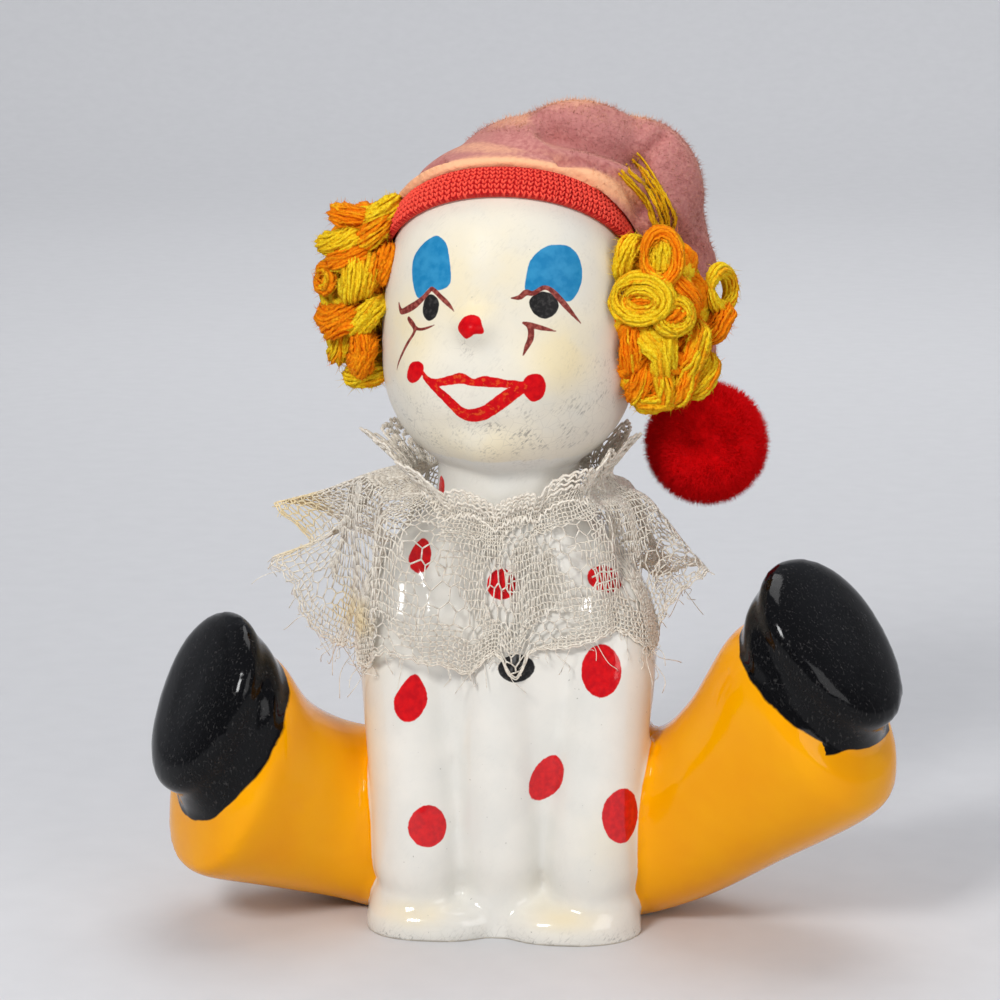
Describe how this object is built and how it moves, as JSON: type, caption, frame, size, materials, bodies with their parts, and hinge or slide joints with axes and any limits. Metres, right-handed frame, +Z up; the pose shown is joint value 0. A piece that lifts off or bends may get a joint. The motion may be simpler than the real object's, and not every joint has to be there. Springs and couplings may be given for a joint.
{
  "type": "ceramic clown figurine",
  "caption": "Seated glazed ceramic clown with splayed flared legs, painted face, felt stocking cap with pompom, yarn hair and a gathered lace collar; shelf ornament that rests on its flat base.",
  "frame": {"origin": "middle of the flat underside, on the surface it rests on", "axes": "+Z up, the figure faces -Y, +X to the viewer's right of its front"},
  "size_m": [0.1017, 0.05, 0.1128],
  "materials": {
    "glazed_ceramic": "white gloss glaze, painted yellow trousers, black shoes, red dots and a painted face",
    "pink_felt": "dusty pink brushed felt",
    "coral_knit": "coral red knitted tape",
    "red_chenille": "deep red chenille pile",
    "yellow_yarn": "variegated yellow and orange yarn in loops",
    "cotton_lace": "grey-white cotton net lace with ecru stains"
  },
  "bodies": {
    "root": {"figure": "glazed_ceramic", "hat": "pink_felt", "hat_band": "coral_knit", "pompom": "red_chenille", "hair_left": "yellow_yarn", "hair_right": "yellow_yarn", "collar": "cotton_lace"}
  },
  "joints": []
}
